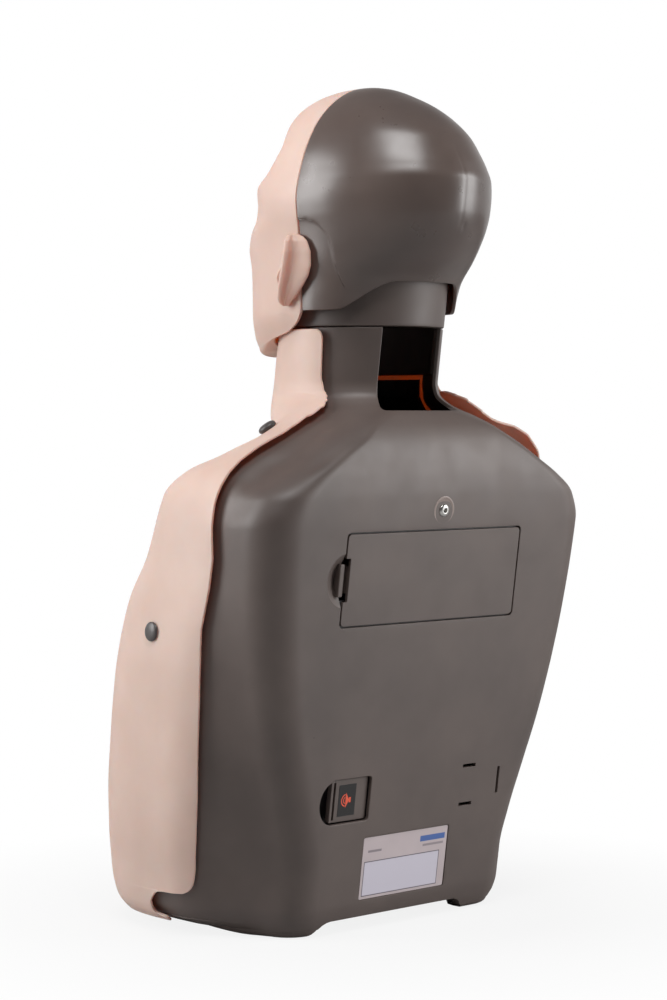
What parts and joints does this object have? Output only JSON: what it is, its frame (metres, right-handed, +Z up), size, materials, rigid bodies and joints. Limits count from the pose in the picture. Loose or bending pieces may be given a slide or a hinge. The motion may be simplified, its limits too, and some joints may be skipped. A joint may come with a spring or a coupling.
{
  "type": "cpr training manikin",
  "caption": "Head and chest training manikin in moulded plastic with a soft skin, a tilting head, a sprung chest plate and a hinged battery door in its leaning back.",
  "frame": {"origin": "on the floor, below the middle of the bust", "axes": "+Z up along the bust, the face looks along -Y, the manikin's own left is +X"},
  "size_m": [0.3616, 0.2731, 0.626],
  "materials": {
    "shell_plastic": "moulded grey-brown ABS, satin gloss",
    "skin_vinyl": "soft PVC skin, satin",
    "dark_plastic": "moulded charcoal ABS",
    "frame_plastic": "moulded natural polypropylene",
    "button_plastic": "moulded acetal snap button",
    "steel": "zinc plated steel",
    "cell_jacket": "plain lacquered cell can",
    "contact_brass": "sprung brass strip",
    "label_film": "printed polyester film",
    "cap_plastic": "turned plastic ring",
    "bag_film": "milky polyethylene film",
    "board": "lacquered circuit board",
    "cone_paper": "pressed paper cone and printed card"
  },
  "bodies": {
    "torso": {"airway_tube": "bag_film", "back_shell": "shell_plastic", "battery_cell_1": "cell_jacket", "battery_cell_2": "cell_jacket", "battery_cell_3": "cell_jacket", "battery_cell_4": "cell_jacket", "battery_cell_5": "cell_jacket", "battery_cell_6": "cell_jacket", "battery_tray": "dark_plastic", "button_shoulder_left": "button_plastic", "button_shoulder_right": "button_plastic", "button_side_left": "button_plastic", "button_side_right": "button_plastic", "chest_skin": "skin_vinyl", "circuit_board": "board", "click_pocket": "dark_plastic", "contact_left": "contact_brass", "contact_right": "contact_brass", "front_frame": "frame_plastic", "guide_post": "frame_plastic", "label_plate": "label_film", "lung_bag": "bag_film", "neck_tube": "shell_plastic", "press_spring": "steel", "screw_cap": "cap_plastic", "shell_screw": "steel", "speaker": "cone_paper"},
    "head": {"head_shell": "shell_plastic", "face_mask": "skin_vinyl", "face_frame": "frame_plastic", "mouth_tube": "bag_film", "neck_pin": "steel"},
    "press": {"chest_plate": "frame_plastic"},
    "door": {"battery_door": "shell_plastic"},
    "cover": {"click_cover": "dark_plastic", "click_icon": "cone_paper"}
  },
  "joints": [
    {"name": "head_tilt", "type": "hinge", "parent": "torso", "child": "head", "pos_m": [0, 0.017, 0.465], "axis": [-1, 0, 0], "range_deg": [0, 25]},
    {"name": "chest_press", "type": "slide", "parent": "torso", "child": "press", "axis": [0, 0.9905, -0.1374], "range_m": [0, 0.05], "stiffness_N_per_m": 6000, "deforming": ["press_spring"]},
    {"name": "door_hinge", "type": "hinge", "parent": "torso", "child": "door", "pos_m": [-0.0864, 0.103, 0.262], "axis": [0, 0.1374, 0.9905], "range_deg": [0, 90]},
    {"name": "cover_hinge", "type": "hinge", "parent": "torso", "child": "cover", "pos_m": [0.047, 0.07887, 0.09978], "axis": [0, 0.1374, 0.9905], "range_deg": [0, 60]}
  ]
}
